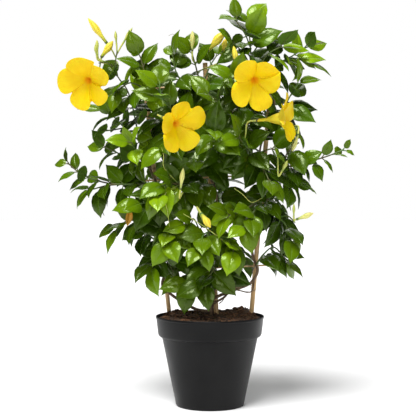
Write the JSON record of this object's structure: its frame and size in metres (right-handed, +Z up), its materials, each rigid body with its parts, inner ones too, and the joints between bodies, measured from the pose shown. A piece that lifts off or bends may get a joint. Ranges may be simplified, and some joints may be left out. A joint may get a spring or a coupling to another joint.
{
  "type": "potted mandevilla",
  "caption": "Yellow-flowered mandevilla climbing a fan of bamboo canes in a round black nursery pot, with glossy leaves, funnel blooms and buds; stands on the floor or a table.",
  "frame": {"origin": "centre of the pot's flat underside, on the floor", "axes": "+Z up along the pot's axis; -Y is the plant's front, the side with the open blooms; +X is to the right as seen from the front"},
  "size_m": [0.4658, 0.3431, 0.6371],
  "materials": {
    "pot_plastic": "satin",
    "soil": "matte",
    "bamboo": "satin",
    "tie_wire": "satin",
    "woody_stem": "matte",
    "leaf": "satin",
    "leaf_young": "satin",
    "bud": "matte",
    "petal": "matte"
  },
  "bodies": {
    "root": {"pot": "pot_plastic", "soil": "soil", "cane_left": "bamboo", "cane_middle": "bamboo", "cane_right": "bamboo", "bar_low": "bamboo", "bar_middle": "bamboo", "bar_top": "bamboo", "tie_low_left": "tie_wire", "tie_low_middle": "tie_wire", "tie_low_right": "tie_wire", "tie_middle_left": "tie_wire", "tie_middle_middle": "tie_wire", "tie_middle_right": "tie_wire", "tie_top_left": "tie_wire", "tie_top_middle": "tie_wire", "tie_top_right": "tie_wire", "woody_stems": "woody_stem", "bud_long": "bud", "bud_beside_bloom": "bud", "bud_top_opening": "bud", "bud_top_small": "bud", "bud_top_pale": "bud", "bud_right_hanging": "bud", "bud_behind_bloom": "bud", "bud_left_front": "bud", "bud_middle_front": "bud", "bud_right_low": "bud", "bloom_left": "petal", "bloom_right": "petal", "bloom_middle": "petal", "bloom_side": "petal", "spray_top_left": "leaf", "spray_upper_left": "leaf", "spray_top_middle": "leaf", "spray_crown": "leaf", "spray_right_upper": "leaf", "spray_right_middle": "leaf", "spray_right_low": "leaf", "spray_right_base": "leaf", "spray_low_front": "leaf", "spray_low_left": "leaf", "spray_left_low": "leaf", "spray_left_shoot": "leaf", "spray_left": "leaf_young", "spray_left_upper": "leaf", "spray_front_left": "leaf_young", "spray_front_middle": "leaf", "spray_front_upper_left": "leaf", "spray_front_upper_right": "leaf", "spray_front_right": "leaf", "spray_front_right_low": "leaf_young", "spray_front_low": "leaf_young", "spray_front_low_left": "leaf_young", "spray_back_left": "leaf", "spray_back_low": "leaf", "spray_back_middle": "leaf", "spray_back_right": "leaf", "spray_back_top_left": "leaf", "spray_back_top_right": "leaf"}
  },
  "joints": []
}
